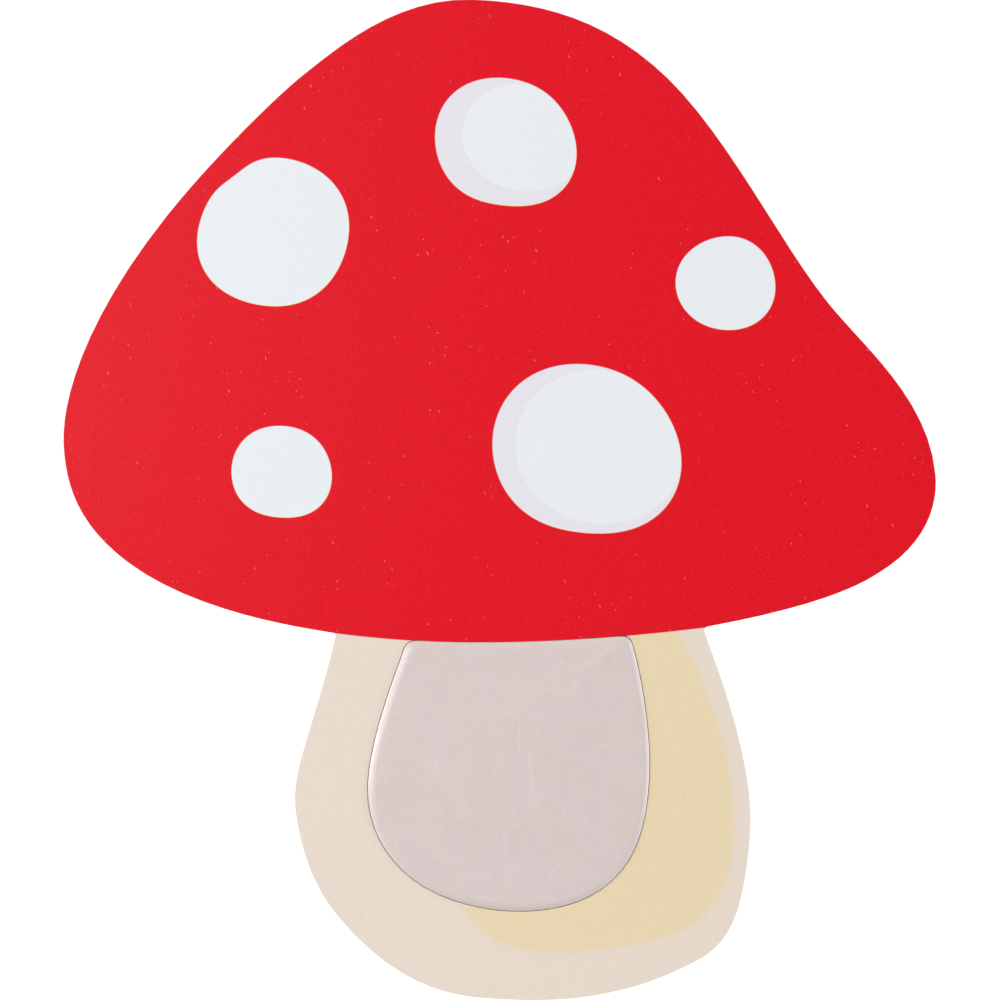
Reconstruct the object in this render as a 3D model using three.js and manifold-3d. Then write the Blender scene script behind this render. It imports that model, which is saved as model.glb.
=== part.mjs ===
// A flat, mushroom-shaped wall panel: a board cut to a toadstool's outline, faced with a printed
// laminate, with a padded leatherette inset let into its stem and two keyhole plates in its back.
//
// Millimetres. +X is to the viewer's right, +Z up and -Y out of the wall, towards the viewer.
// The origin is the middle of the flat back, which lies against the wall at y = 0.

import * as THREE from 'three';
import { mergeVertices } from 'three/addons/utils/BufferGeometryUtils.js';
import Module from 'manifold-3d';

const wasm = await Module();
wasm.setup();

// ---- driving dimensions ---------------------------------------------------------------------

// layers of the board, from the wall outwards
const BACKING_THICKNESS = 0.75;
const CORE_THICKNESS = 12;
const FACE_THICKNESS = 0.75;
const BOARD_THICKNESS = BACKING_THICKNESS + CORE_THICKNESS + FACE_THICKNESS;

// the pocket in the stem and the padded inset in it
const POCKET_DEPTH = 9;
const PAD_GAP = 0.6; // all round the inset, at the face
const PAD_CENTRE = [4, -137];
const PAD_CROWN = 3; // how far the middle stands above the rolled edge
const PAD_EDGE_SUNK = 1; // the rolled edge, below the face
const PAD_ROLL_POWER = 12; // a higher power makes the rolled edge tighter
const COVER_THICKNESS = 1;
const COVER_FLAP = 0.82; // the turned-under flap's inner edge, as a share of the outline
const FIT_GAP = 0.3;
const BASE_THICKNESS = 3;
const TAPE_SIZE = [80, 22];
const TAPE_FROM_CENTRE = 24;

// keyhole plates and their screws
const HANGER_SPACING = 150;
const HANGER_HEIGHT = 130; // of the plates' middles, above the origin
const PLATE_SIZE = [20, 48];
const PLATE_THICKNESS = 1.5;
const PLATE_CORNER = 3;
const KEYHOLE_RADIUS = 5;
const KEYHOLE_DROP = 7; // of the round hole, below the plate's middle
const SLOT_RADIUS = 2.5;
const SLOT_TOP = 7; // of the slot's round end, above the plate's middle
const HEAD_RECESS_DEPTH = 8; // from the back, for the wall screw's head
const SCREW_FROM_MIDDLE = 18.5;
const SCREW_HEAD_RADIUS = 3.4;
const SCREW_SHANK_RADIUS = 1.6;
const SCREW_LENGTH = 10.5;

// how finely curves are cut
const BOARD_STEPS = 12; // a bend of the board's outline
const PAD_STEPS = 8; // a bend of the inset's outline
const CIRCLE_STEPS = 24;
// the pad's rings, from its edge to near its middle, as shares of its outline
const CROWN_RINGS = [0.985, 0.96, 0.91, 0.8, 0.4];

// ---- outlines, seen from the front as [x, z] ------------------------------------------------

// One closed outline through bends, each [control, control, end], or [corner, end] where a round
// cutter has left its radius in a corner. The bends are given clockwise and the points come back
// anticlockwise, as solids want them.
function outline(start, bends, steps) {
  const shape = new THREE.Shape();
  shape.moveTo(...start);
  for (const bend of bends) {
    if (bend.length === 3) shape.bezierCurveTo(...bend[0], ...bend[1], ...bend[2]);
    else shape.quadraticCurveTo(...bend[0], ...bend[1]);
  }
  return shape.getPoints(steps).slice(0, -1).reverse();
}

const BOARD_OUTLINE = outline([-84, -66.3], [
  // under the cap's left half, round its left corner and up to its crown
  [[-99, -63.7], [-152, -56.5], [-186, -31]],
  [[-210.5, -12.5], [-217, 7], [-218, 28]],
  [[-219, 47.5], [-209.5, 88], [-166, 142.5]],
  [[-142, 172.5], [-108, 205], [-97.5, 213]],
  [[-84, 223.5], [-52.5, 251.5], [-13.5, 250]],
  // down the right slope, round the right corner and back under the cap
  [[21.5, 248.5], [53.5, 240], [84, 210.5]],
  [[114.5, 180.5], [140, 128.5], [163.5, 99]],
  [[180.5, 77.5], [214, 51], [217.5, 13]],
  [[219, -2.5], [213, -22], [189, -36.5]],
  [[183, -40], [168, -51.3], [104, -63.2]],
  // the inner corner, down the stem's right side, round its foot and up its left side
  [[101.7, -63.7], [102.3, -66]],
  [[103, -70], [128.5, -128.5], [125, -168]],
  [[121.5, -207], [115.5, -222], [96, -231.5]],
  [[67.5, -246], [39, -251.5], [3, -249.5]],
  [[-18, -248.5], [-48, -248], [-81.5, -207.5]],
  [[-99.5, -186], [-102.2, -156], [-102.5, -152.5]],
  [[-103.5, -132.5], [-94, -116.5], [-82.4, -69]],
  [[-81.8, -66.6], [-84, -66.3]],
], BOARD_STEPS);

// the middle of the gap round the inset
const GAP_LINE = outline([-42, -70.4], [
  // along the cap's lower edge, then down the right side and round the foot
  [[-9, -72.4], [26, -71.1], [61, -68.1]],
  [[64.6, -67.7], [65.8, -71.6]],
  [[68.3, -78], [76, -113], [74.5, -139]],
  [[73, -166.5], [66.5, -183], [50.5, -194.5]],
  [[35, -205.5], [13, -206], [1.5, -205]],
  [[-3.5, -204.7], [-28, -202], [-44, -189]],
  [[-57, -178.5], [-66.5, -164], [-66, -142]],
  [[-65, -118], [-49, -78.5], [-48.2, -75.5]],
  [[-46.8, -70.1], [-42, -70.4]],
], PAD_STEPS);

// An outline moved outwards by a distance, or inwards if it is negative.
function offset(points, distance) {
  return points.map((point, i) => {
    const before = points[(i + points.length - 1) % points.length];
    const after = points[(i + 1) % points.length];
    const along = after.clone().sub(before).normalize();
    return new THREE.Vector2(point.x + along.y * distance, point.y - along.x * distance);
  });
}

function scaled(points, share) {
  const centre = new THREE.Vector2(...PAD_CENTRE);
  return points.map((point) => point.clone().sub(centre).multiplyScalar(share).add(centre));
}

function roundedRectangle([width, height], radius, [cx, cz]) {
  const [x, z] = [width / 2 - radius, height / 2 - radius];
  const shape = new THREE.Shape();
  shape.absarc(cx + x, cz + z, radius, 0, Math.PI / 2);
  shape.absarc(cx - x, cz + z, radius, Math.PI / 2, Math.PI);
  shape.absarc(cx - x, cz - z, radius, Math.PI, 1.5 * Math.PI);
  shape.absarc(cx + x, cz - z, radius, 1.5 * Math.PI, 2 * Math.PI);
  return shape.getPoints(3);
}

// a round hole with a narrower round-ended slot above it
function keyhole([cx, cz], holeRadius, slotRadius) {
  const holeZ = cz - KEYHOLE_DROP;
  const half = Math.asin(slotRadius / holeRadius);
  const shape = new THREE.Shape();
  shape.absarc(cx, holeZ, holeRadius, Math.PI / 2 + half, 2.5 * Math.PI - half);
  shape.absarc(cx, cz + SLOT_TOP, slotRadius, 0, Math.PI);
  return shape.getPoints(10);
}

// ---- solids ---------------------------------------------------------------------------------

// A flat plate from an outline, with holes, between two distances out from the wall.
function plate(points, from, to, holes = []) {
  const shape = new THREE.Shape(points);
  shape.holes = holes.map((hole) => new THREE.Path(hole));
  const geometry = new THREE.ExtrudeGeometry(shape, {
    depth: to - from,
    bevelEnabled: false,
    curveSegments: CIRCLE_STEPS,
  });
  return geometry.translate(0, 0, from).rotateX(Math.PI / 2);
}

// A turned piece on an axis square to the wall. The profile is [radius, distance from the wall].
function turned(profile, [cx, cz]) {
  const points = profile.map(([radius, out]) => new THREE.Vector2(radius, out));
  const geometry = new THREE.LatheGeometry(points, CIRCLE_STEPS);
  return geometry.rotateX(Math.PI).translate(cx, 0, cz);
}

function manifold(geometry) {
  const bare = geometry.clone();
  bare.deleteAttribute('normal');
  bare.deleteAttribute('uv');
  const merged = mergeVertices(bare, 1e-4);
  return new wasm.Manifold(new wasm.Mesh({
    numProp: 3,
    vertProperties: new Float32Array(merged.attributes.position.array),
    triVerts: new Uint32Array(merged.index.array),
  }));
}

function cut(geometry, cutters) {
  const solid = cutters.reduce((left, cutter) => left.subtract(manifold(cutter)), manifold(geometry));
  const { vertProperties, triVerts } = solid.getMesh();
  const result = new THREE.BufferGeometry();
  result.setAttribute('position', new THREE.BufferAttribute(vertProperties, 3));
  result.setIndex(new THREE.BufferAttribute(triVerts, 1));
  result.computeVertexNormals();
  return result;
}

// A closed skin over rings of equal length, each [outline, distance from the wall], with its two
// ends closed by fans. Rings that run outwards over a front face give faces that point forward.
function skinned(rings) {
  const size = rings[0][0].length;
  const positions = [];
  const faces = [];
  for (const [points, out] of rings) {
    for (const point of points) positions.push(point.x, -out, point.y);
  }
  for (let ring = 0; ring < rings.length - 1; ring += 1) {
    for (let i = 0; i < size; i += 1) {
      const [a, b] = [ring * size + i, ring * size + ((i + 1) % size)];
      faces.push(a, a + size, b, b, a + size, b + size);
    }
  }
  for (const [ring, flip] of [[0, false], [rings.length - 1, true]]) {
    const middle = positions.length / 3;
    positions.push(PAD_CENTRE[0], -rings[ring][1], PAD_CENTRE[1]);
    for (let i = 0; i < size; i += 1) {
      const [a, b] = [ring * size + i, ring * size + ((i + 1) % size)];
      faces.push(...(flip ? [middle, b, a] : [middle, a, b]));
    }
  }
  const geometry = new THREE.BufferGeometry();
  geometry.setAttribute('position', new THREE.Float32BufferAttribute(positions, 3));
  geometry.setIndex(faces);
  geometry.computeVertexNormals();
  return geometry;
}

// ---- the board ------------------------------------------------------------------------------

const POCKET_FLOOR = BOARD_THICKNESS - POCKET_DEPTH;
const FACE_BACK = BACKING_THICKNESS + CORE_THICKNESS;
const HANGERS = {
  left: [-HANGER_SPACING / 2, HANGER_HEIGHT],
  right: [HANGER_SPACING / 2, HANGER_HEIGHT],
};
const SCREWS = { upper: SCREW_FROM_MIDDLE, lower: -SCREW_FROM_MIDDLE };

function plateRecess(place) {
  const size = PLATE_SIZE.map((length) => length + 2 * FIT_GAP);
  return roundedRectangle(size, PLATE_CORNER + FIT_GAP, place);
}

function coreBoard() {
  const cutters = [plate(offset(GAP_LINE, PAD_GAP / 2), POCKET_FLOOR, BOARD_THICKNESS)];
  for (const place of Object.values(HANGERS)) {
    cutters.push(plate(plateRecess(place), 0, PLATE_THICKNESS));
    const headRoom = keyhole(place, KEYHOLE_RADIUS + 1, KEYHOLE_RADIUS + 0.5);
    cutters.push(plate(headRoom, 0, HEAD_RECESS_DEPTH));
    for (const dz of Object.values(SCREWS)) {
      const radius = SCREW_SHANK_RADIUS + 2 * FIT_GAP;
      const hole = [[0, 0], [radius, 0], [radius, SCREW_LENGTH + 0.5], [0, SCREW_LENGTH + 0.5]];
      cutters.push(turned(hole, [place[0], place[1] + dz]));
    }
  }
  return cut(plate(BOARD_OUTLINE, BACKING_THICKNESS, FACE_BACK), cutters);
}

function faceSheet() {
  return plate(BOARD_OUTLINE, FACE_BACK, BOARD_THICKNESS, [offset(GAP_LINE, PAD_GAP / 2)]);
}

function backingSheet() {
  return plate(BOARD_OUTLINE, 0, BACKING_THICKNESS, Object.values(HANGERS).map(plateRecess));
}

// ---- the padded inset -----------------------------------------------------------------------

// the height of the pad's rolled edge and crown above its edge, at a share of its outline
function crown(share) {
  return PAD_CROWN * Math.sqrt(1 - share ** PAD_ROLL_POWER);
}

// the rings of one crowned face, from its edge inwards
function crownRings(points, edge) {
  return [[points, edge], ...CROWN_RINGS.map((share) => [scaled(points, share), edge + crown(share)])];
}

function padCover() {
  const outer = offset(GAP_LINE, -PAD_GAP / 2);
  const inner = offset(outer, -COVER_THICKNESS);
  const edge = BOARD_THICKNESS - PAD_EDGE_SUNK;
  const flapEdge = scaled(outer, COVER_FLAP);
  return skinned([
    ...crownRings(outer, edge).reverse(),
    [outer, POCKET_FLOOR],
    [flapEdge, POCKET_FLOOR],
    [flapEdge, POCKET_FLOOR + COVER_THICKNESS],
    [inner, POCKET_FLOOR + COVER_THICKNESS],
    ...crownRings(inner, edge - COVER_THICKNESS),
  ]);
}

const PAD_BASE_BACK = POCKET_FLOOR + COVER_THICKNESS;
const PAD_BASE_FRONT = PAD_BASE_BACK + BASE_THICKNESS;
const PAD_FILLING_OUTLINE = offset(GAP_LINE, -PAD_GAP / 2 - COVER_THICKNESS - FIT_GAP);

function padFoam() {
  const edge = BOARD_THICKNESS - PAD_EDGE_SUNK - COVER_THICKNESS - FIT_GAP;
  return skinned([
    ...crownRings(PAD_FILLING_OUTLINE, edge).reverse(),
    [PAD_FILLING_OUTLINE, PAD_BASE_FRONT],
  ]);
}

function padBase() {
  return plate(PAD_FILLING_OUTLINE, PAD_BASE_BACK, PAD_BASE_FRONT);
}

function padTape(dz) {
  const place = [PAD_CENTRE[0], PAD_CENTRE[1] + dz];
  return plate(roundedRectangle(TAPE_SIZE, 1, place), POCKET_FLOOR, PAD_BASE_BACK);
}

// ---- the hangers ----------------------------------------------------------------------------

// the cone that a countersunk head sits in, a gap wider than the head and run out past the face
function countersink([x, z]) {
  const top = SCREW_HEAD_RADIUS + FIT_GAP;
  const past = 1;
  return turned([[0, -past], [top + past, -past], [top - 2, 2], [0, 2]], [x, z]);
}

function hangerPlate(place) {
  const points = roundedRectangle(PLATE_SIZE, PLATE_CORNER, place);
  const slot = keyhole(place, KEYHOLE_RADIUS, SLOT_RADIUS);
  const holes = Object.values(SCREWS).map((dz) => countersink([place[0], place[1] + dz]));
  return cut(plate(points, 0, PLATE_THICKNESS, [slot]), holes);
}

function screw(place) {
  const coneDepth = SCREW_HEAD_RADIUS - SCREW_SHANK_RADIUS;
  const tip = SCREW_SHANK_RADIUS * 1.5;
  return turned([
    [0, 0],
    [SCREW_HEAD_RADIUS, 0],
    [SCREW_SHANK_RADIUS, coneDepth],
    [SCREW_SHANK_RADIUS, SCREW_LENGTH - tip],
    [0, SCREW_LENGTH],
  ], place);
}

// ---- the panel ------------------------------------------------------------------------------

const LOOKS = {
  print: { color: 0xe4212d, roughness: 0.45, metalness: 0 },
  fibreboard: { color: 0xa9825a, roughness: 0.85, metalness: 0 },
  backing: { color: 0xe9e7e2, roughness: 0.5, metalness: 0 },
  leatherette: { color: 0xd9cbc8, roughness: 0.55, metalness: 0 },
  foam: { color: 0xf0e6c4, roughness: 0.95, metalness: 0 },
  plywood: { color: 0xcfae7f, roughness: 0.8, metalness: 0 },
  tape: { color: 0xf4f4f0, roughness: 0.7, metalness: 0 },
  zincSteel: { color: 0xb9bcc0, roughness: 0.35, metalness: 1 },
};

const panel = new THREE.Group();

function add(name, geometry, look) {
  const mesh = new THREE.Mesh(geometry, new THREE.MeshStandardMaterial(LOOKS[look]));
  mesh.name = name;
  panel.add(mesh);
}

add('core_board', coreBoard(), 'fibreboard');
add('face_sheet', faceSheet(), 'print');
add('backing_sheet', backingSheet(), 'backing');
add('pad_cover', padCover(), 'leatherette');
add('pad_foam', padFoam(), 'foam');
add('pad_base', padBase(), 'plywood');
add('pad_tape_upper', padTape(TAPE_FROM_CENTRE), 'tape');
add('pad_tape_lower', padTape(-TAPE_FROM_CENTRE), 'tape');
for (const [side, place] of Object.entries(HANGERS)) {
  add(`hanger_${side}`, hangerPlate(place), 'zincSteel');
  for (const [end, dz] of Object.entries(SCREWS)) {
    add(`hanger_${side}_screw_${end}`, screw([place[0], place[1] + dz]), 'zincSteel');
  }
}

export default panel;
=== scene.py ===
import random
from math import cos, pi, radians, sin

import bmesh
import bpy
import numpy as np
from bpy.props import FloatProperty, FloatVectorProperty, IntProperty, PointerProperty
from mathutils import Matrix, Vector, noise


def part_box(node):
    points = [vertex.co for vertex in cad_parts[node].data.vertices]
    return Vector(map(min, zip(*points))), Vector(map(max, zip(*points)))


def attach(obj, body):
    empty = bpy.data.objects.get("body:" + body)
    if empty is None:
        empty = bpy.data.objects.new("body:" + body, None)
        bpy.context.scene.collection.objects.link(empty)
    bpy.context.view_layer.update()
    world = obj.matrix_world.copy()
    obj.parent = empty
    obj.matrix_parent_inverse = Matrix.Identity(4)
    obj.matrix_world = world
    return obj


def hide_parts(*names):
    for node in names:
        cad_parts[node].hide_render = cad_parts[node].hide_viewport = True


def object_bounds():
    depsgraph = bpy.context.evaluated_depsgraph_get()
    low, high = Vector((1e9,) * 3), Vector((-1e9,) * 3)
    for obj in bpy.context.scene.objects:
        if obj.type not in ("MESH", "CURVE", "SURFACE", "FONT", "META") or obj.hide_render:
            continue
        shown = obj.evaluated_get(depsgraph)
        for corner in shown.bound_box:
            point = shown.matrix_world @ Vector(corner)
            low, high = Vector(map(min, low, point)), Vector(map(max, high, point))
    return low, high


bl_info = {
    "name": "Toadstool wall panel",
    "version": (1, 0, 0),
    "blender": (4, 5, 0),
    "location": "View3D > Sidebar > Toadstool",
    "description": "Finishes a toadstool wall panel: printed board, padded inset and hangers",
    "category": "Object",
}

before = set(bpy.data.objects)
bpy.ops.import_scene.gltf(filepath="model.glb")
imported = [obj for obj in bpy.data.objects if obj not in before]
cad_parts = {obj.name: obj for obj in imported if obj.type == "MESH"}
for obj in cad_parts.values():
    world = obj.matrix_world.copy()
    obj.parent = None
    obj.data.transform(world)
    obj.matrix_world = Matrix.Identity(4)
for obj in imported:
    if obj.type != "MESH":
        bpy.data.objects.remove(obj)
CAD_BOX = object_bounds()

MM = 0.001
TURN = 2 * pi
BODY = "root"
CLOSE = 1e-6  # points nearer than this are one point
FACE_LEVEL = -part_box("face_sheet")[0].y  # of the printed face, out from the wall
FOOT = CAD_BOX[0].z

# ---- meshes ----


def merged_copy(node):
    """A CAD node's mesh with its loose triangles joined and its flat faces made whole."""
    mesh = bmesh.new()
    mesh.from_mesh(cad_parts[node].data)
    bmesh.ops.remove_doubles(mesh, verts=mesh.verts, dist=CLOSE)
    bmesh.ops.dissolve_limit(mesh, angle_limit=radians(0.3), verts=mesh.verts, edges=mesh.edges)
    return mesh


def in_scene(name, data):
    """A new object in the scene that shows a mesh, a light or a camera."""
    made = bpy.data.objects.new(name, data)
    bpy.context.scene.collection.objects.link(made)
    return made


def new_piece(name, bm, *materials):
    """Turns a bmesh into an object in the scene, with its materials."""
    mesh = bpy.data.meshes.new(name)
    bm.to_mesh(mesh)
    bm.free()
    for material in materials:
        mesh.materials.append(material)
    return in_scene(name, mesh)


def apply_modifiers(piece):
    """Makes what a piece's modifiers show its own plain mesh."""
    graph = bpy.context.evaluated_depsgraph_get()
    mesh = bpy.data.meshes.new_from_object(piece.evaluated_get(graph))
    mesh.name = piece.name
    piece.modifiers.clear()
    piece.data = mesh


def smooth(piece, angle):
    """Smooth shading, with edges sharper than an angle in degrees left crisp."""
    piece.data.shade_smooth()
    piece.data.set_sharp_from_angle(angle=radians(angle))


def finished_copy(node, name, slot, width, *materials, angle=12):
    """A rigid node's own shape with softened edges and smooth curves, standing for the node."""
    piece = new_piece(name, merged_copy(node), *materials)
    bevel = piece.modifiers.new("edges", "BEVEL")
    bevel.width = width
    bevel.segments = 3
    bevel.limit_method = "ANGLE"
    bevel.angle_limit = radians(40)
    apply_modifiers(piece)
    smooth(piece, angle)
    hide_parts(node)
    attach(piece, BODY)
    return piece


def face_outline(node, level):
    """The longest closed edge of a node's flat face that lies at a distance from the wall."""
    mesh = merged_copy(node)
    flat = {f for f in mesh.faces if all(abs(v.co.y + level) < CLOSE for v in f.verts)}
    rim = {e for e in mesh.edges if sum(f in flat for f in e.link_faces) == 1}
    loops = []
    while rim:
        edge = rim.pop()
        start, here = edge.verts
        loop = [start, here]
        while here != start:
            edge = next(e for e in here.link_edges if e in rim)
            rim.remove(edge)
            here = edge.other_vert(here)
            loop.append(here)
        loops.append(np.array([(v.co.x, v.co.z) for v in loop[:-1]]))
    mesh.free()
    return max(loops, key=perimeter)


def perimeter(loop):
    return float(np.linalg.norm(np.roll(loop, -1, 0) - loop, axis=1).sum())


# ---- node trees ----


class Tree:
    """Adds nodes to a node tree, one call each, and links or sets what each is given."""

    def __init__(self, tree):
        self.tree = tree

    def feed(self, socket, value):
        if isinstance(value, bpy.types.NodeSocket):
            self.tree.links.new(value, socket)
        else:
            socket.default_value = value

    def node(self, kind, values=None, **settings):
        made = self.tree.nodes.new(kind)
        for name, value in settings.items():
            setattr(made, name, value)
        for socket, value in (values or {}).items():
            self.feed(made.inputs[socket], value)
        return made

    def math(self, operation, *values, clamp=False):
        numbered = dict(enumerate(values))
        made = self.node("ShaderNodeMath", numbered, operation=operation, use_clamp=clamp)
        return made.outputs[0]

    def times(self, one, other):
        return self.math("MULTIPLY", one, other)

    def minus(self, one, other):
        return self.math("SUBTRACT", one, other)

    def vector_math(self, operation, *values):
        numbered = dict(enumerate(values))
        return self.node("ShaderNodeVectorMath", numbered, operation=operation).outputs["Vector"]

    def parts(self, vector):
        return self.node("ShaderNodeSeparateXYZ", {0: vector}).outputs

    def mix(self, share, one, other, blend="MIX"):
        values = {0: share, 6: one, 7: other}
        made = self.node("ShaderNodeMix", values, data_type="RGBA", blend_type=blend)
        return made.outputs[2]

    def between(self, value, low, high, to_low=0.0, to_high=1.0):
        """value carried from low..high to to_low..to_high, and held at the ends."""
        numbered = dict(enumerate((value, low, high, to_low, to_high)))
        made = self.node("ShaderNodeMapRange", numbered, interpolation_type="SMOOTHSTEP")
        return made.outputs[0]

    def place(self, scale=(1, 1, 1), turn=0):
        """Object coordinates, turned about Y by some degrees, then scaled."""
        at = self.node("ShaderNodeTexCoord").outputs["Object"]
        values = {"Vector": at, "Rotation": (0, radians(turn), 0)}
        turned = self.node("ShaderNodeMapping", values).outputs[0]
        return self.vector_math("MULTIPLY", turned, scale)

    def noise(self, vector, size, detail=2.0, roughness=0.5, distortion=0.0):
        """Noise with features of about a size in millimetres."""
        values = {"Vector": vector, "Scale": 1 / (size * MM), "Detail": detail}
        values |= {"Roughness": roughness, "Distortion": distortion}
        return self.node("ShaderNodeTexNoise", values).outputs[0]

    def cells(self, vector, size, feature="F1"):
        """The distance into cells of about a size in millimetres."""
        values = {"Vector": vector, "Scale": 1 / (size * MM)}
        return self.node("ShaderNodeTexVoronoi", values, feature=feature).outputs["Distance"]

    def bump(self, height, depth, before=None):
        """A bump of a depth in millimetres where height goes from 0 to 1."""
        values = {"Height": height, "Distance": depth * MM}
        if before is not None:
            values["Normal"] = before
        return self.node("ShaderNodeBump", values).outputs[0]


class Surface(Tree):
    """The tree of a new material, with its constants set on the shader's sockets."""

    def __init__(self, name, shown, specular=0.5, **constants):
        self.material = bpy.data.materials.new(name)
        self.material.use_nodes = True
        self.material.diffuse_color = (*shown, 1)
        super().__init__(self.material.node_tree)
        self.sockets = self.tree.nodes["Principled BSDF"].inputs
        self.sockets["Specular IOR Level"].default_value = specular
        for socket, value in constants.items():
            self.sockets[socket.replace("_", " ")].default_value = value

    def tint(self, share, base, colour, factors):
        """base, with a share of a colour that is made darker or paler by factors."""
        return self.mix(share, base, multiplied(colour, factors))

    def finished(self, colour, roughness, *bump):
        """The material, once its colour, roughness and bump are linked to its shader."""
        varied = {"Base Color": colour, "Roughness": roughness, "Normal": self.bump(*bump)}
        for socket, value in varied.items():
            self.feed(self.sockets[socket], value)
        return self.material


def linear(red, green, blue):
    """A colour from its 0 to 255 values, as light."""
    parts = [value / 255 for value in (red, green, blue)]
    return tuple(p / 12.92 if p <= 0.04045 else ((p + 0.055) / 1.055) ** 2.4 for p in parts)


def rgba(colour):
    return (*colour[:3], 1.0)


def multiplied(one, other):
    return (*(a * b for a, b in zip(one, other)), 1.0)


# ---- what a user would change ----


def colour(name, description, default):
    return FloatVectorProperty(
        name=name, description=description, default=default, subtype="COLOR", min=0, max=1, size=3
    )


def length(name, description, default):
    return FloatProperty(
        name=name, description=description, default=default, min=0, max=1,
        precision=5, unit="LENGTH", subtype="DISTANCE",
    )


class PrintSettings(bpy.types.PropertyGroup):
    white: colour("White", "The unprinted laminate, which shows in the spots", (0.828, 0.859, 0.880))
    magenta_ink: colour("Magenta ink", "What the magenta ink lets through", (0.955, 0.0065, 0.185))
    yellow_ink: colour("Yellow ink", "What the yellow ink lets through", (1.0, 0.90, 0.10))
    lilac: colour("Lilac", "The shadow at the left of two of the spots", (0.97, 0.915, 0.95))
    stem: colour("Stem", "The stem", linear(234, 220, 205))
    shade: colour("Stem's shade", "The yellow shade at the stem's right", linear(235, 217, 179))
    ink_slip: length("Ink slip", "How far the inks are printed off their place", 0.105 * MM)
    ink_edge: length("Ink edge", "How wide an inked edge blurs", 0.4 * MM)


class BoardSettings(bpy.types.PropertyGroup):
    edge_softness: length("Edge softness", "Rounding of the laminate's cut edges", 0.12 * MM)
    fibreboard: colour("Fibreboard", "The core's cut edge", linear(176, 138, 98))
    laminate_edge: colour("Laminate edge", "Dark paper in the laminate's edge", linear(78, 58, 44))
    backing: colour("Backing", "The plain laminate on the back", linear(226, 223, 216))


class PadSettings(bpy.types.PropertyGroup):
    leatherette: colour("Leatherette", "The inset's cover", linear(221, 206, 202))
    crease: colour("Crease", "Where the cover's film is stretched pale", linear(240, 232, 230))
    foam: colour("Foam", "The filling", linear(240, 230, 196))
    plywood: colour("Plywood", "The inset's base", linear(207, 174, 127))
    tape: colour("Tape", "The two tapes that hold the inset", linear(244, 244, 240))
    swell: length("Swell", "How far the cover may swell out", 0.7 * MM)
    pressure: FloatProperty(
        name="Pressure", description="How hard the filling pushes", default=20, min=0, max=60
    )
    curls: IntProperty(
        name="Curls", description="How many fine creases", default=60, min=0, max=400
    )


class HangerSettings(bpy.types.PropertyGroup):
    zinc: colour("Zinc", "The plates' plating", linear(190, 192, 194))
    screw_zinc: colour("Screw zinc", "The screws' plating", linear(203, 200, 190))
    head_radius: length("Head radius", "Of each screw's head", 3.4 * MM)
    shank_radius: length("Shank radius", "Of each screw's root, inside the thread", 1.25 * MM)
    screw_length: length("Screw length", "From the head's top to the point", 10.5 * MM)


class StageSettings(bpy.types.PropertyGroup):
    floor: colour("Floor", "The pale floor", (0.93, 0.93, 0.93))
    lens: FloatProperty(
        name="Lens", description="Focal length", default=85, unit="CAMERA", min=20, max=300
    )
    view_width: length("View width", "What the camera sees across at the panel's face", 0.4995)


# ---- the printed face ----


def new_group(kind, name, inputs, outputs):
    """A node group with named sockets, and the tree inside it."""
    group = bpy.data.node_groups.new(name, kind)
    for side, sockets in (("INPUT", inputs), ("OUTPUT", outputs)):
        for socket, holds in sockets.items():
            group.interface.new_socket(socket, in_out=side, socket_type=holds)
    tree = Tree(group)
    return group, tree, tree.node("NodeGroupInput").outputs, tree.node("NodeGroupOutput").inputs


DENT_NARROWNESS = 20


def printed_blob():
    """A group that draws a hand-drawn round: a circle stretched, made an egg, squared, dented."""
    waves = ("Stretch", "Egg", "Square")
    shaped = (*waves, "Dent")
    inputs = {"Position": "NodeSocketVector", "Centre": "NodeSocketVector"}
    for name in ("Radius", "Edge", *shaped, *(f"{name} angle" for name in shaped)):
        inputs[name] = "NodeSocketFloat"
    outputs = {"Mask": "NodeSocketFloat"}
    group, tree, given, made = new_group("ShaderNodeTree", "printed blob", inputs, outputs)
    offset = tree.vector_math("SUBTRACT", given["Position"], given["Centre"])
    part = tree.parts(offset)
    turn = tree.math("ARCTAN2", part["Z"], part["X"])
    squares = [tree.times(part[axis], part[axis]) for axis in "XZ"]
    away = tree.math("SQRT", tree.math("ADD", *squares))
    swing = 1.0
    for lobes, wave in enumerate(waves, start=2):
        phase = tree.times(tree.minus(turn, given[f"{wave} angle"]), lobes)
        swing = tree.math("MULTIPLY_ADD", tree.math("COSINE", phase), given[wave], swing)
    facing = tree.math("COSINE", tree.minus(turn, given["Dent angle"]))
    narrow = tree.math("POWER", tree.math("MAXIMUM", facing, 0.0), DENT_NARROWNESS)
    swing = tree.minus(swing, tree.times(narrow, given["Dent"]))
    inside = tree.minus(tree.times(given["Radius"], swing), away)
    mask = tree.math("ADD", tree.math("DIVIDE", inside, given["Edge"]), 0.5, clamp=True)
    tree.feed(made["Mask"], mask)
    return group


# each blob: its centre and radius, then how much it is stretched, made an egg, squared and dented,
# each with an angle anticlockwise from the right; the last ones may be left off; in millimetres and
# degrees
SPOTS = (
    ((-113.1, 133.6), 37.6, (0.0257, 36), (0.011, -38), (0.0144, 27), (0.0604, 124)),
    ((2.7, 178.5), 33.9, (0.0715, -24), (0.014, -30), (0.014, -40)),
    ((112.9, 108.2), 24.2, (0.033, -10.5), (0.016, -50), (0.006, -30)),
    ((-109.1, 13.9), 24.25, (0.049, -14), (0.013, -33), (0.012, -44)),
    ((43.1, 25.0), 44.9, (0.0715, -21), (0.016, -28), (0.010, -38)),
)
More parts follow.
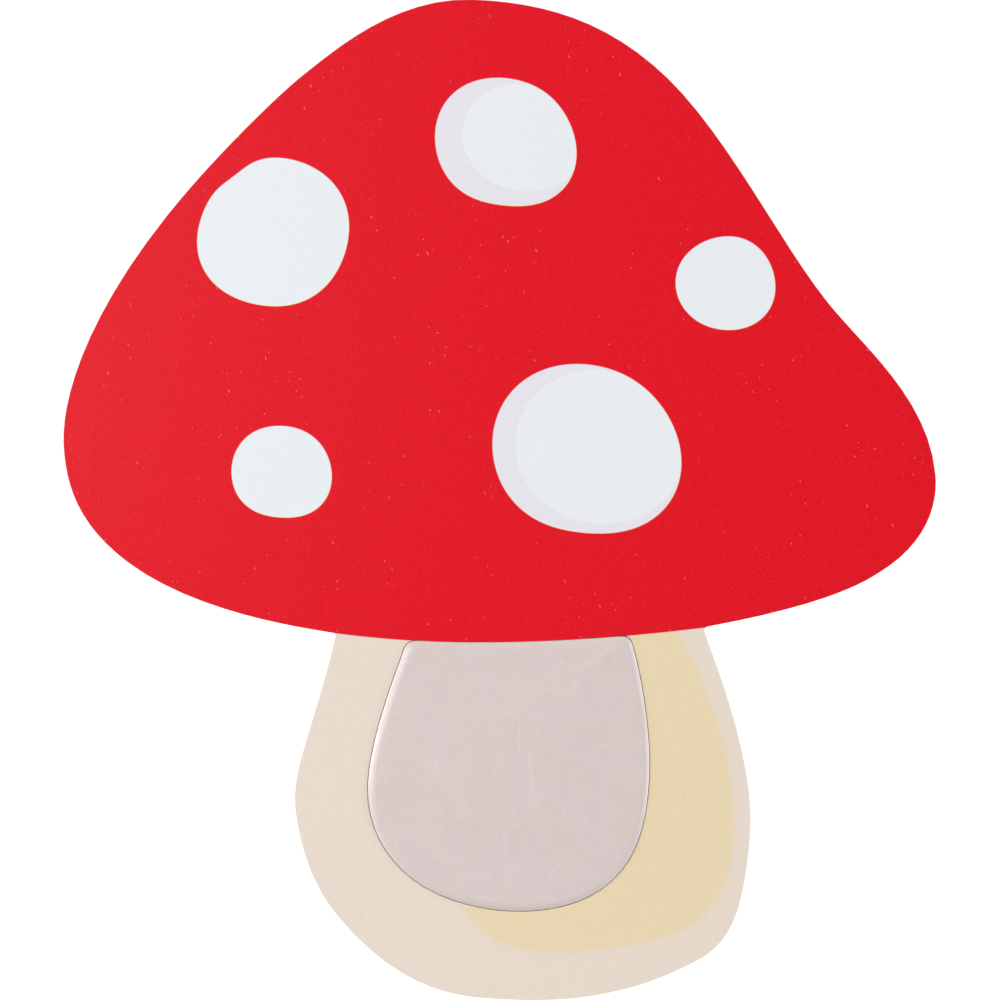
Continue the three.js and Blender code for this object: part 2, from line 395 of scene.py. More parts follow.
# the white part of the two spots that have a lilac shadow at their left
HIGHLIGHTS = (
    ((12.0, 181.1), 28.8, (0.076, -12)),
    ((50.0, 26.5), 40.4, (0.053, -12)),
)
STEM_SHADE = ((54.6, -141.8), 76.1, (0.282, -95), (0.199, -19), (0.083, -62))
STEM_SHADE_EDGE = 3.4


def blobs(tree, group, position, shapes, edge):
    """The union of several blobs, as a mask."""
    whole = 0.0
    for (x, z), radius, *waves in shapes:
        values = {
            "Position": position,
            "Centre": (x * MM, 0, z * MM),
            "Radius": radius * MM,
            "Edge": edge,
        }
        for name, (amount, angle) in zip(("Stretch", "Egg", "Square", "Dent"), waves):
            values[name] = amount
            values[f"{name} angle"] = radians(angle)
        blob = tree.node("ShaderNodeGroup", values, node_tree=group)
        whole = tree.math("MAXIMUM", whole, blob.outputs["Mask"])
    return whole


# the printed cap ends along a shallow curve over the stem: z = low + bow * u^2 + lean * u^3 in
# millimetres, with u measured from where the curve is lowest
CAP_LOW = -71.2
CAP_LOWEST_AT = -8.0
CAP_BOW = 7.6e-4
CAP_LEAN = -1.3e-6
CAP_INNER_CORNER = -63.4


def cap_mask(tree, position, edge):
    """1 on the cap and 0 on the stem."""
    part = tree.parts(position)
    u = tree.math("MULTIPLY_ADD", part["X"], 1 / MM, -CAP_LOWEST_AT)
    square = tree.times(u, u)
    bend = tree.math("MULTIPLY_ADD", u, CAP_LEAN, CAP_BOW)
    line = tree.math("MULTIPLY_ADD", square, bend, CAP_LOW)
    line = tree.math("MINIMUM", line, CAP_INNER_CORNER)
    above = tree.minus(part["Z"], tree.times(line, MM))
    return tree.math("MULTIPLY_ADD", above, 1 / edge, 0.5, clamp=True)


def print_material(look):
    """Satin printed laminate: two inks over white, each a little off its place, under a fine
    pebbled film with dust specks and hairline scratches."""
    tree = Surface("printed laminate", (0.78, 0.02, 0.03), specular=0.26)
    group = printed_blob()
    at = tree.place()
    slip = look.ink_slip
    magenta_at = tree.vector_math("SUBTRACT", at, (0.4 * slip, 0, -slip))
    yellow_at = tree.vector_math("SUBTRACT", at, (-0.15 * slip, 0, 0.4 * slip))
    inks = []
    for ink_at in (magenta_at, yellow_at):
        spots = blobs(tree, group, ink_at, SPOTS, look.ink_edge)
        around = tree.minus(1.0, spots)
        inks.append(tree.times(cap_mask(tree, ink_at, look.ink_edge), around))
    lit = blobs(tree, group, at, HIGHLIGHTS, look.ink_edge * 1.5)
    shadowed = blobs(tree, group, at, (SPOTS[1], SPOTS[4]), look.ink_edge)
    lilac = tree.times(shadowed, tree.minus(1.0, lit))
    paper = tree.mix(lilac, rgba(look.white), multiplied(look.white, look.lilac))

    shade = blobs(tree, group, at, (STEM_SHADE,), STEM_SHADE_EDGE * MM)
    stem = tree.mix(shade, rgba(look.stem), rgba(look.shade))
    cap = cap_mask(tree, at, look.ink_edge)
    inked = tree.mix(cap, stem, paper)
    for ink, passes in zip(inks, (look.magenta_ink, look.yellow_ink)):
        inked = tree.mix(ink, inked, tree.mix(1.0, inked, rgba(passes), "MULTIPLY"))

    leaning = tree.place(scale=(1, 1, 1.35), turn=28)
    grain = tree.noise(leaning, 1.9, 3, 0.55, 0.6)
    fine = tree.noise(at, 0.55, 2, 0.6)
    amount = tree.math("MULTIPLY_ADD", cap, -0.045, tree.math("MULTIPLY_ADD", inks[0], 0.145, 0.09))
    thick = tree.times(tree.between(grain, 0.35, 0.7), amount)
    inked = tree.mix(thick, inked, (0.6, 0.6, 0.6, 1), "MULTIPLY")
    thin = tree.times(inks[0], tree.between(grain, 0.3, 0.65, 0.005, 0.0))
    inked = tree.mix(thin, inked, (1, 0.92, 0.92, 1))
    dusty = tree.between(tree.noise(at, 22, 2), 0.42, 0.62, 0.08, 0.5)
    specks = tree.between(tree.cells(tree.place(scale=(1.3, 1, 0.8)), 5), 0.03, 0.09, 1.0, 0.0)
    slanted = tree.place(scale=(1, 1, 0.25), turn=24)
    lint = tree.between(tree.cells(slanted, 5), 0.025, 0.06, 1.0, 0.0)
    marks = tree.times(tree.math("MAXIMUM", specks, lint), dusty)
    inked = tree.mix(tree.times(marks, inks[0]), inked, (0.92, 0.5, 0.46, 1))

    height = tree.math("MULTIPLY_ADD", fine, 0.3, grain)
    rough = tree.between(grain, 0.3, 0.75, 0.3, 0.38)
    return tree.finished(inked, rough, height, 0.035)


# ---- the board ----

SHEET_FACING = 0.25  # a laminate's surface that faces out less than this is its cut edge


def fibreboard_material(look):
    """Cut fibreboard: pressed layers, denser and darker near the faces, with cutter marks."""
    tree = Surface("fibreboard", look.fibreboard, specular=0.25)
    layers = tree.noise(tree.place(scale=(1, 6, 1)), 2.2, 5, 0.65)
    fibres = tree.noise(tree.place(scale=(1, 3, 1)), 0.6, 3, 0.7, 1.5)
    part = tree.parts(tree.place())
    middle = tree.math("ABSOLUTE", tree.math("ADD", part["Y"], FACE_LEVEL / 2))
    dense = tree.between(middle, 3.2 * MM, 6.2 * MM)
    dark = multiplied(look.fibreboard, (0.56, 0.52, 0.47))
    pale = multiplied(look.fibreboard, (1.2, 1.2, 1.18))
    base = tree.mix(tree.between(layers, 0.35, 0.7), rgba(look.fibreboard), pale)
    base = tree.mix(tree.between(fibres, 0.5, 0.72, 0.0, 0.5), base, dark)
    base = tree.mix(tree.times(dense, 0.45), base, dark)
    chatter = tree.noise(tree.place(scale=(1, 0.04, 1)), 1.3, 1, 0.4)
    bumped = tree.bump(tree.math("MULTIPLY_ADD", fibres, 0.6, layers), 0.12)
    rough = tree.between(fibres, 0.3, 0.7, 0.7, 0.9)
    return tree.finished(base, rough, chatter, 0.08, bumped)


def laminate_edge_material(look):
    """The cut edge of a laminate: layers of dark paper in resin."""
    edge = look.laminate_edge
    tree = Surface("laminate edge", edge, specular=0.4)
    layers = tree.noise(tree.place(scale=(1, 12, 1)), 1.6, 4, 0.7)
    base = tree.tint(layers, rgba(edge), edge, (0.6, 0.6, 0.6))
    rough = tree.between(layers, 0.3, 0.7, 0.35, 0.55)
    return tree.finished(base, rough, layers, 0.03)


def backing_material(look):
    """Plain balancing laminate: a fine pebbled film with faint scuffs from handling."""
    plain = look.backing
    tree = Surface("backing laminate", plain, specular=0.4)
    at = tree.place()
    cloud = tree.noise(at, 60, 4, 0.6)
    scuffs = tree.noise(tree.place(scale=(1, 1, 14), turn=37), 9, 4, 0.7)
    cloudy = tree.between(cloud, 0.3, 0.75, 0.0, 0.5)
    base = tree.tint(cloudy, rgba(plain), plain, (0.93, 0.92, 0.9))
    marks = tree.between(scuffs, 0.62, 0.72)
    base = tree.tint(tree.times(marks, 0.18), base, plain, (0.7, 0.69, 0.67))
    grain = tree.noise(at, 0.9, 3, 0.6)
    rough = tree.math("MULTIPLY_ADD", marks, 0.15, 0.42)
    return tree.finished(base, rough, grain, 0.03)


class TOADSTOOL_OT_board(bpy.types.Operator):
    """Finish the board: the fibreboard core between its printed face and its backing"""

    bl_idname = "toadstool.board"
    bl_label = "Board"

    def execute(self, context):
        look = context.scene.toadstool_board
        softness = look.edge_softness
        edge = laminate_edge_material(look)
        fibres = fibreboard_material(look)
        finished_copy("core_board", "board_core", "fibreboard", softness, fibres)
        printed = print_material(context.scene.toadstool_print)
        plain = backing_material(look)
        for node, name, slot, sheet, outward in (
            ("face_sheet", "board_face", "print_laminate", printed, -1),
            ("backing_sheet", "board_backing", "backing_laminate", plain, 1),
        ):
            piece = finished_copy(node, name, slot, softness, sheet, edge)
            for polygon in piece.data.polygons:
                polygon.material_index = 0 if polygon.normal.y * outward > SHEET_FACING else 1
        return {"FINISHED"}


# ---- the padded inset ----

PAD_BACK = 4.5 * MM
PAD_EDGE = 13.5 * MM  # where the cover starts to roll over, out from the wall
PAD_FULL_CROWN = 2.0 * MM
PAD_ROLL = 4.1 * MM  # how far in from its outline the cover's edge is rolled
PAD_SPREAD = 0.48 * MM  # of the blown-up cover past the plain one, into the gap round it
PAD_TOP_SPREAD = 0.14 * MM  # more of it under the cap, where the cover sits tight
PAD_TOP = 60 * MM  # above the pad's middle, where its top edge begins
PAD_TOP_FADE = 4 * MM  # the height over which that begins
PAD_HELD = 0.25 * MM  # the rolled edge is held this far in by the pocket's walls
PAD_GLUED = 0.5 * MM  # the back is held this far up its sides
PAD_CELLS = 60  # across the front, from side to side
PAD_CELL_CROWDING = 1.5  # above 1, cells are smaller towards the outline
PAD_WALL_CELLS = 4
PAD_CENTRE = Vector((4.0 * MM, 0, -137.0 * MM))
PAD_START_CROWN = 1.9 * MM
FLAP_SHARE = 0.82  # the turned-under flap ends this share of the way out
COVER_THICKNESS = 0.9 * MM
PAD_FRONT_FADE = 0.8 * MM  # the creases fade out over this much of the roll
BACK_DEPTH = 0.3 * MM  # a face of the cover nearer its back than this belongs to the back
FOAM_EDGE = 0.5 * MM  # the rounding of each piece's edges
PLYWOOD_EDGE = 0.2 * MM
TAPE_EDGE = 0.1 * MM
FOAM_PRESSED = 0.06  # the share of its height that the foam gives under the cover
CLOTH_FRAMES = 20
SMALLEST = 1e-18  # keeps a length of nothing from being divided by
OUTLINE_CUTS = 12  # into which each stretch of the outline is cut
FRONT_FACING = 0.2  # the cover's front faces out more than this

# of the creases and curls, with lengths in millimetres
CREASE_WIDTH = 0.36
CURL_WIDTH = 0.4
CURL_STEP = 1.6
CURL_STEPS = (3, 7)  # the fewest and the most in one curl
CURL_BEND, CURL_WANDER = 0.5, 0.25  # the most it turns at a step in radians, steadily and at random
CURLS_REACH = 66  # how far they are scattered each way from the pad's middle
CREASE_DEPTH = 0.05
HILL_SIZE, HILL_HEIGHT = 16, 0.05
RIPPLE_SIZE, RIPPLE_HEIGHT = 6, 0.02
SHALLOW_SHARE = 0.55  # of a deep crease's depth
CURL_SHARE = 0.35

# the creases that show most, each a few points across the pad, in millimetres
DEEP_CREASES = (
    ((9.8, -110.2), (9.5, -118), (9.8, -126.2)),
    ((14.3, -125.2), (15.8, -138), (16.8, -152.2)),
)
SHALLOW_CREASES = (
    ((-20.2, -139.2), (-20.4, -152.2), (-22.2, -157.2)),
    ((45.8, -109.2), (54, -108.4), (61.8, -105.2)),
    ((46.8, -125.2), (51, -123), (56.8, -119.2)),
    ((1.8, -165.2), (1.9, -171.2), (4.8, -185.2), (5.8, -196.2)),
    ((10.8, -173.2), (13.8, -167.2)),
    ((-10.7, -198.2), (10, -199.4), (28, -198.8), (38, -197.2)),
)


def line_distance(x, z, line):
    """How far each point lies from a line drawn through points."""
    nearest = np.full(len(x), np.inf)
    for here, there in zip(line[:-1], line[1:]):
        step = there - here
        along = ((x - here[0]) * step[0] + (z - here[1]) * step[1]) / max(step @ step, SMALLEST)
        along = np.clip(along, 0, 1)
        away = np.hypot(x - here[0] - along * step[0], z - here[1] - along * step[1])
        nearest = np.minimum(nearest, away)
    return nearest


class Outline:
    """The pad's outline, as a distance from its middle for each direction."""

    def __init__(self, loop):
        dense = []
        for here, there in zip(loop, np.roll(loop, -1, 0)):
            dense += [here + (there - here) * k / OUTLINE_CUTS for k in range(OUTLINE_CUTS)]
        arm = np.array(dense) - (PAD_CENTRE.x, PAD_CENTRE.z)
        turn = np.arctan2(arm[:, 1], arm[:, 0])
        order = np.argsort(turn)
        spread = PAD_SPREAD + PAD_TOP_SPREAD * np.clip((arm[:, 1] - PAD_TOP) / PAD_TOP_FADE, 0, 1)
        self.turn = turn[order]
        self.reach = (np.linalg.norm(arm, axis=1) + spread)[order]
        rays = np.column_stack((np.cos(self.turn), np.sin(self.turn)))
        rim = rays * self.reach[:, None] + (PAD_CENTRE.x, PAD_CENTRE.z)
        self.rim = np.vstack((rim, rim[:1]))

    def radius(self, turn):
        return np.interp(turn, self.turn, self.reach, period=TURN)

    def share(self, x, z):
        """How far out a point lies, from 0 in the middle to 1 on the outline."""
        dx, dz = x - PAD_CENTRE.x, z - PAD_CENTRE.z
        return np.hypot(dx, dz) / self.radius(np.arctan2(dz, dx))

    def inset(self, x, z):
        """How far inside the outline each point lies, and 0 outside it."""
        return np.where(self.share(x, z) < 1, line_distance(x, z, self.rim), 0)

    def point(self, share, turn, level):
        reach = share * float(self.radius(turn))
        return Vector((PAD_CENTRE.x + reach * cos(turn), -level, PAD_CENTRE.z + reach * sin(turn)))


def square_to_round(a, b):
    """A point of a square from -1 to 1 as a share out and a direction, so that cells stay even."""
    out = 1 - (1 - max(abs(a), abs(b))) ** PAD_CELL_CROWDING
    if a == 0 and b == 0:
        return 0.0, 0.0
    if abs(a) >= abs(b):
        return out, pi / 4 * b / a + (pi if a < 0 else 0)
    return out, pi / 2 - pi / 4 * a / b + (pi if b < 0 else 0)


def crown(inset, height):
    """How far the cover stands out past its edge, at a distance in from its outline."""
    return height * np.sqrt(1 - (1 - np.clip(inset / PAD_ROLL, 0, 1)) ** 2)


def pad_block(outline, height):
    """The closed block that the cover is blown up from: front, sides and back in even cells."""
    bm = bmesh.new()
    steps = [2 * i / PAD_CELLS - 1 for i in range(PAD_CELLS + 1)]
    spots = {
        (i, j): outline.point(*square_to_round(a, b), PAD_BACK)
        for i, a in enumerate(steps)
        for j, b in enumerate(steps)
    }
    flat = np.array(list(spots.values()))
    levels = PAD_EDGE + crown(outline.inset(flat[:, 0], flat[:, 2]), height)
    front, back = {}, {}
    for (cell, spot), level in zip(spots.items(), levels):
        front[cell] = bm.verts.new((spot.x, -level, spot.z))
        back[cell] = bm.verts.new(spot)
    for grid in (front, back):
        for i in range(PAD_CELLS):
            for j in range(PAD_CELLS):
                bm.faces.new([grid[i + di, j + dj] for di, dj in ((0, 0), (1, 0), (1, 1), (0, 1))])
    last, along = PAD_CELLS, range(PAD_CELLS)
    rim = [(k, 0) for k in along] + [(last, k) for k in along]
    rim += [(last - k, last) for k in along] + [(0, last - k) for k in along]
    walls = []
    for cell in rim:
        start, end = front[cell], back[cell]
        between = [
            bm.verts.new(start.co.lerp(end.co, (k / PAD_WALL_CELLS) ** PAD_CELL_CROWDING))
            for k in range(1, PAD_WALL_CELLS)
        ]
        walls.append([start, *between, end])
    for wall, following in zip(walls, walls[1:] + walls[:1]):
        for k in range(PAD_WALL_CELLS):
            bm.faces.new((wall[k], wall[k + 1], following[k + 1], following[k]))
    bmesh.ops.recalc_face_normals(bm, faces=bm.faces)
    return bm


def coordinates(mesh):
    co = np.zeros(len(mesh.vertices) * 3)
    mesh.vertices.foreach_get("co", co)
    return co.reshape(-1, 3)


def set_coordinates(mesh, co):
    mesh.vertices.foreach_set("co", co.ravel())
    mesh.update()


def blow_up(piece, look, outline):
    """Swells the cover as cloth under pressure, held at its glued back and the pocket's walls."""
    before = coordinates(piece.data)
    held = piece.vertex_groups.new(name="held")
    glued = before[:, 1] > -PAD_BACK - PAD_GLUED
    walled = outline.inset(before[:, 0], before[:, 2]) < PAD_HELD
    held.add(np.flatnonzero(glued | walled).tolist(), 1.0, "REPLACE")
    cloth = piece.modifiers.new("cloth", "CLOTH")
    settings = cloth.settings
    settings.quality = 6
    settings.mass = 0.3
    settings.tension_stiffness = 25
    settings.compression_stiffness = 15
    settings.shear_stiffness = 10
    settings.bending_stiffness = 3.0
    settings.use_pressure = True
    settings.uniform_pressure_force = look.pressure
    settings.shrink_min = 0.01
    settings.vertex_group_mass = "held"
    settings.effector_weights.gravity = 0
    cloth.collision_settings.use_collision = False
    cloth.point_cache.frame_start = 1
    cloth.point_cache.frame_end = CLOTH_FRAMES
    scene = bpy.context.scene
    for number in range(1, CLOTH_FRAMES + 1):
        scene.frame_set(number)
    apply_modifiers(piece)
    scene.frame_set(1)
    after = coordinates(piece.data)
    move = after - before
    reach = np.linalg.norm(move, axis=1, keepdims=True)
    after = before + move * np.minimum(1, look.swell / np.maximum(reach, SMALLEST))
    set_coordinates(piece.data, keep_in_pocket(after, outline))


def keep_in_pocket(co, outline):
    """Presses points back inside the pocket's walls and behind the crown's full height."""
    co = co.copy()
    share = outline.share(co[:, 0], co[:, 2])
    pull = np.where(share > 1, 1 / np.maximum(share, SMALLEST), 1)
    co[:, 0] = PAD_CENTRE.x + (co[:, 0] - PAD_CENTRE.x) * pull
    co[:, 2] = PAD_CENTRE.z + (co[:, 2] - PAD_CENTRE.z) * pull
    highest = PAD_EDGE + crown(outline.inset(co[:, 0], co[:, 2]), PAD_FULL_CROWN)
    co[:, 1] = np.clip(co[:, 1], -highest, -PAD_BACK)
    return co


def crease_field(x, z, lines, width):
    """How near each point lies to any of the lines, from 0 to 1."""
    nearest = np.full(len(x), np.inf)
    for line in lines:
        nearest = np.minimum(nearest, line_distance(x, z, np.array(line)))
    return np.exp(-((nearest / width) ** 2))


def curl_lines(count, rng):
    """Fine curls scattered over the pad, each a short bent line."""
    lines = []
    for _ in range(count):
        x = PAD_CENTRE.x / MM + rng.uniform(-CURLS_REACH, CURLS_REACH)
        z = PAD_CENTRE.z / MM + rng.uniform(-CURLS_REACH, CURLS_REACH)
        heading = rng.uniform(0, TURN)
        bend = rng.uniform(-CURL_BEND, CURL_BEND)
        line = [(x, z)]
        for _ in range(rng.randint(*CURL_STEPS)):
            heading += bend + rng.uniform(-CURL_WANDER, CURL_WANDER)
            x += CURL_STEP * cos(heading)
            z += CURL_STEP * sin(heading)
            line.append((x, z))
        lines.append(line)
    return lines


def uneven(x, z, size, layer):
    """Smooth rises and dips of about a size, between -1 and 1."""
    return np.array([noise.noise(Vector((a / size, b / size, layer))) for a, b in zip(x, z)])


def crease(piece, look, outline):
    """Presses the creases and curls into the cover's front and marks where they are."""
    co = coordinates(piece.data)
    x, z = co[:, 0] / MM, co[:, 2] / MM
    deep = crease_field(x, z, DEEP_CREASES, CREASE_WIDTH)
    shallow = crease_field(x, z, SHALLOW_CREASES, CREASE_WIDTH)
    curls = crease_field(x, z, curl_lines(look.curls, random.Random(7)), CURL_WIDTH)
    front = np.clip((-co[:, 1] - PAD_EDGE) / PAD_FRONT_FADE, 0, 1)
    field = np.maximum(np.maximum(deep, SHALLOW_SHARE * shallow), CURL_SHARE * curls) * front
    hills = HILL_HEIGHT * uneven(x, z, HILL_SIZE, 3.1)
    ripples = RIPPLE_HEIGHT * uneven(x, z, RIPPLE_SIZE, 8.4)
    co[:, 1] += (CREASE_DEPTH * field - (hills + ripples) * front) * MM
    set_coordinates(piece.data, keep_in_pocket(co, outline))
    mark = piece.data.attributes.new("crease", "FLOAT", "POINT")
    mark.data.foreach_set("value", field.astype(np.float32))


def refine_front(piece):
    """Cuts the cover's front faces finer, for its creases."""
    bm = bmesh.new()
    bm.from_mesh(piece.data)
    forward = [face for face in bm.faces if face.normal.y < -FRONT_FACING]
    front = [face for face in forward if face.calc_center_median().y < -PAD_EDGE + PAD_GLUED]
    edges = {edge for face in front for edge in face.edges}
    bmesh.ops.subdivide_edges(bm, edges=list(edges), cuts=1, use_grid_fill=True)
    bm.to_mesh(piece.data)
    bm.free()


def leatherette_material(look):
    """Soft upholstery vinyl: a fine pebbled grain over a cloudy colour, pale along its creases."""
    film = look.leatherette
    tree = Surface(
        "leatherette", film, Coat_Weight=0.8, Coat_Roughness=0.24,
        Sheen_Weight=0.05, Sheen_Roughness=0.5,
    )
    at = tree.place()
    cloud = tree.noise(at, 14, 4, 0.6, 0.8)
    warm = tree.between(tree.noise(at, 19, 3, 0.6), 0.45, 0.7)
    base = tree.tint(tree.between(cloud, 0.35, 0.65), rgba(film), film, (0.965, 0.965, 0.97))
    base = tree.tint(warm, base, film, (0.985, 0.965, 0.925))
    wander = tree.times(tree.noise(at, 5, 2, 0.6), 6 * MM)
    veins = tree.cells(tree.vector_math("ADD", at, wander), 5, "DISTANCE_TO_EDGE")
    patchy = tree.between(tree.noise(at, 9, 2), 0.4, 0.6, 0.25, 1.0)
    veined = tree.times(patchy, tree.between(veins, 0.0, 0.06, 0.17, 0.0))
    base = tree.mix(veined, base, rgba(look.crease))
    flecks = tree.between(tree.cells(at, 2.4), 0.06, 0.16, 0.5, 0.0)
    base = tree.tint(flecks, base, film, (0.95, 0.94, 0.94))
    marks = tree.node("ShaderNodeAttribute", attribute_name="crease").outputs["Fac"]
    broken = tree.between(tree.noise(at, 3.5, 2), 0.35, 0.6, 0.12, 0.46)
    base = tree.mix(tree.math("MULTIPLY", marks, broken, clamp=True), base, rgba(look.crease))
    pebbles = tree.cells(at, 0.9)
    pores = tree.noise(at, 0.35, 2, 0.6)
    height = tree.math("MULTIPLY_ADD", pores, 0.25, tree.times(pebbles, -1.0))
    rough = tree.between(cloud, 0.3, 0.7, 0.46, 0.56)
    return tree.finished(base, rough, height, 0.03)


def foam_material(look):
    """Open-celled foam, with painted shade darkening the pits of its cells."""
    tree = Surface(
        "foam", look.foam, specular=0.1, Subsurface_Weight=0.1,
        Subsurface_Radius=(1.5 * MM, 1.2 * MM, 0.8 * MM),
    )
    cells = tree.cells(tree.place(), 0.8, "DISTANCE_TO_EDGE")
    walls_and_shaded_pits = tree.between(cells, 0.0, 0.25, 1.0, 0.0)
    # painted shade: the colour is darker in the middle of each cell, the pits, where shade would fall
    base = tree.mix(walls_and_shaded_pits, multiplied(look.foam, (0.75, 0.72, 0.66)), rgba(look.foam))
    rough = tree.between(cells, 0.0, 0.3, 0.9, 1.0)
    return tree.finished(base, rough, walls_and_shaded_pits, 0.3)


def plywood_material(look):
    """Thin plywood, with a straight grain and darker glue lines in its edge."""
    wood = look.plywood
    tree = Surface("plywood", wood, specular=0.3)
    grain = tree.noise(tree.place(scale=(12, 1, 1)), 6, 5, 0.6, 0.4)
    plies = tree.noise(tree.place(scale=(0.02, 1, 0.02)), 0.9, 1, 0.5)
    base = tree.tint(tree.between(grain, 0.35, 0.7), rgba(wood), wood, (0.7, 0.6, 0.48))
    base = tree.tint(tree.between(plies, 0.5, 0.6, 0.0, 0.35), base, wood, (0.5, 0.4, 0.3))
    rough = tree.between(grain, 0.3, 0.7, 0.65, 0.8)
    return tree.finished(base, rough, grain, 0.06)


def tape_material(look):
    """Double-sided foam tape."""
    tree = Surface("mounting tape", look.tape, specular=0.2)
    cells = tree.cells(tree.place(), 0.25)
    base = tree.tint(cells, rgba(look.tape), look.tape, (0.86, 0.86, 0.85))
    rough = tree.between(cells, 0.0, 0.6, 0.6, 0.8)
    return tree.finished(base, rough, cells, 0.04)


class TOADSTOOL_OT_pad_cover(bpy.types.Operator):
    """Make the inset's leatherette cover: blown up as cloth in its pocket, then creased"""

    bl_idname = "toadstool.pad_cover"
    bl_label = "Pad cover"

    def execute(self, context):
        look = context.scene.toadstool_pad
        outline = Outline(face_outline("pad_cover", PAD_BACK))
        cover = new_piece("pad_leatherette", pad_block(outline, PAD_START_CROWN))
        blow_up(cover, look, outline)
        finer = cover.modifiers.new("finer", "SUBSURF")
        finer.levels = finer.render_levels = 1
        apply_modifiers(cover)
        self.open_back(cover, outline)
        wall = cover.modifiers.new("thickness", "SOLIDIFY")
        wall.thickness = COVER_THICKNESS
        wall.offset = -1
        apply_modifiers(cover)
        refine_front(cover)
        crease(cover, look, outline)
        smooth(cover, 50)
        cover.data.materials.append(leatherette_material(look))
        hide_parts("pad_cover")
        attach(cover, BODY)
        return {"FINISHED"}

    def open_back(self, cover, outline):
        """Cuts the back away inside the turned-under flap."""
        bm = bmesh.new()
        bm.from_mesh(cover.data)
        gone = []
        for face in bm.faces:
            middle = face.calc_center_median()
            inside = outline.share(middle.x, middle.z) < FLAP_SHARE
            if inside and middle.y > -PAD_BACK - BACK_DEPTH:
                gone.append(face)
        bmesh.ops.delete(bm, geom=gone, context="FACES")
        bm.to_mesh(cover.data)
        bm.free()


class TOADSTOOL_OT_pad_filling(bpy.types.Operator):
    """Finish what the cover holds: the foam, its plywood base and the tapes behind it"""

    bl_idname = "toadstool.pad_filling"
    bl_label = "Pad filling"

    def execute(self, context):
        look = context.scene.toadstool_pad
        soft = foam_material(look)
        foam = finished_copy("pad_foam", "pad_filling", "foam", FOAM_EDGE, soft, angle=40)
        self.press(foam)
        wood = plywood_material(look)
        finished_copy("pad_base", "pad_plywood", "plywood", PLYWOOD_EDGE, wood)
        tape = tape_material(look)
        for end in ("upper", "lower"):
            finished_copy(f"pad_tape_{end}", f"mounting_tape_{end}", "tape", TAPE_EDGE, tape)
        return {"FINISHED"}

    def press(self, foam):
        """Squeezes the foam's front back a little, clear of the creased cover over it."""
        co = coordinates(foam.data)
        base_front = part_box("pad_base")[0].y
        ahead = np.minimum(co[:, 1] - base_front, 0)
        co[:, 1] -= ahead * FOAM_PRESSED
        set_coordinates(foam.data, co)


# ---- the hangers ----


def zinc_material(name, zinc, roughness):
    """Bright zinc plating: a brushed sheet under a faintly clouded coat."""
    tree = Surface(name, zinc, Metallic=1.0)
    cloud = tree.noise(tree.place(), 3.5, 4, 0.65)
    brushed = tree.noise(tree.place(scale=(22, 22, 1)), 4, 3, 0.6)
    base = tree.tint(tree.between(cloud, 0.3, 0.7), rgba(zinc), zinc, (0.84, 0.83, 0.8))
    rough = tree.between(cloud, 0.25, 0.75, roughness, roughness + 0.14)
    return tree.finished(base, rough, brushed, 0.012)


PLATE_EDGE = 0.15 * MM
PLATE_ROUGHNESS = 0.28
SCREW_ROUGHNESS = 0.24
HEAD_SLOPE = 0.9  # a screw head's depth for how far it stands out past the shank
HEAD_SIDES = 40
SHANK_SIDES = 20
SCREW_TIP = 2.2  # its length in shank radii
SCREW_POINT = 0.1 * MM
SCREW_RECESS = 1.5 * MM
SCREW_BLADE = 0.95 * MM
BLADE_SPAN = 1.15  # in head radii
THREAD_TURNS = 6.0
THREAD_HEIGHT = 0.34 * MM


